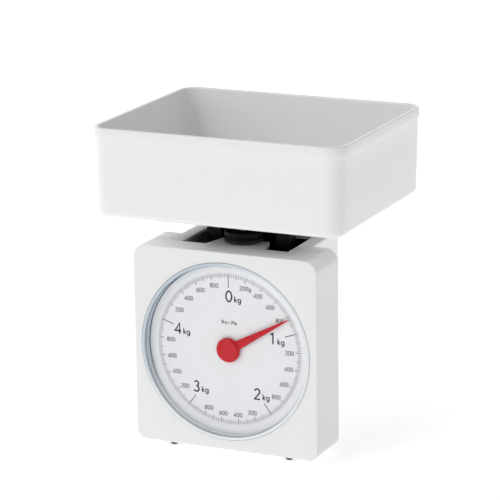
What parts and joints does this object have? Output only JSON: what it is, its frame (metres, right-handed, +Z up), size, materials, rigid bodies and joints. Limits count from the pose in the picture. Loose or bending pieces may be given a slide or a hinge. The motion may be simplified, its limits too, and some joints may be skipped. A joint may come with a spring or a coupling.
{
  "type": "mechanical kitchen scale",
  "caption": "White mechanical kitchen scale with a round front dial, a red pointer, a spring-hung carrier and a lift-off rectangular bowl.",
  "frame": {"origin": "centre of the bowl's outline on the table that the feet stand on", "axes": "+X to the right, +Y to the back, away from the dial, +Z up"},
  "size_m": [0.203, 0.169, 0.2485],
  "materials": {
    "housing_white": "fine satin white moulded plastic",
    "bowl_white": "glossy white moulded plastic",
    "black_plastic": "black moulded plastic, slight sheen",
    "knob_black": "black moulded plastic with a ribbed grip",
    "foot_rubber": "dark grey rubber",
    "clear_plastic": "clear polished plastic",
    "dial_white": "printed cool white disc",
    "pointer_red": "red moulded plastic",
    "brass": "turned brass",
    "plate_steel": "pressed zinc-plated steel",
    "screw_steel": "zinc-plated steel",
    "spring_steel": "drawn spring wire"
  },
  "bodies": {
    "housing": {"front_housing": "housing_white", "rear_housing": "housing_white", "housing_screws": "screw_steel", "feet": "foot_rubber", "lens": "clear_plastic", "dial_plate": "dial_white", "front_bush": "brass", "chassis": "black_plastic", "chassis_screws": "screw_steel", "knob_washer": "screw_steel", "lever_bracket": "black_plastic", "bracket_screws": "screw_steel", "upper_pivot_rod": "screw_steel", "lower_pivot_rod": "screw_steel", "rod_clips": "spring_steel"},
    "load_carrier": {"carrier": "black_plastic", "crossbar": "plate_steel", "crossbar_screws": "screw_steel", "carrier_pins": "screw_steel", "rack": "brass", "rack_screw": "screw_steel", "rack_spring": "spring_steel", "platform": "black_plastic", "platform_screws": "screw_steel"},
    "pointer_set": {"pointer": "pointer_red", "pointer_shaft": "brass", "pinion": "brass"},
    "zero_knob": {"zero_knob": "knob_black"},
    "hanger": {"hanger_screw": "screw_steel", "main_spring": "spring_steel"},
    "upper_lever": {"upper_lever": "plate_steel"},
    "lower_lever": {"lower_lever": "plate_steel"},
    "bowl": {"bowl": "bowl_white"}
  },
  "joints": [
    {"name": "platform_slide", "type": "slide", "parent": "housing", "child": "load_carrier", "axis": [0, 0, 1], "range_m": [-0.01048, 0.00208], "stiffness_N_per_m": 3900, "springref_m": 0.0029, "deforming": ["main_spring"]},
    {"name": "pointer_turn", "type": "hinge", "parent": "housing", "child": "pointer_set", "pos_m": [0, -0.06, 0.081], "axis": [0, 1, 0], "range_deg": [-59.8, 300.4]},
    {"name": "upper_lever_swing", "type": "hinge", "parent": "housing", "child": "upper_lever", "pos_m": [0, 0.015, 0.1258], "axis": [1, 0, 0], "range_deg": [-3.7, 18.1]},
    {"name": "lower_lever_swing", "type": "hinge", "parent": "housing", "child": "lower_lever", "pos_m": [0, 0.015, 0.0478], "axis": [1, 0, 0], "range_deg": [-3.7, 18.1]},
    {"name": "zero_knob_turn", "type": "hinge", "parent": "housing", "child": "zero_knob", "pos_m": [0, -0.031, 0.16], "axis": [0, 0, 1], "range_deg": [-360.5, 360.5]},
    {"name": "hanger_slide", "type": "slide", "parent": "housing", "child": "hanger", "axis": [0, 0, 1], "range_m": [-0.0008, 0.0008], "deforming": ["main_spring"]},
    {"name": "bowl_lift", "type": "slide", "parent": "load_carrier", "child": "bowl", "axis": [0, 0, 1], "range_m": [0, 0.12]}
  ],
  "couplings": [
    {"joint": "pointer_turn", "follows": "platform_slide", "rad_per_m": -500},
    {"joint": "upper_lever_swing", "follows": "platform_slide", "rad_per_m": -29.851},
    {"joint": "lower_lever_swing", "follows": "platform_slide", "rad_per_m": -29.851},
    {"joint": "zero_knob_turn", "follows": "hanger_slide", "rad_per_m": 7854}
  ]
}
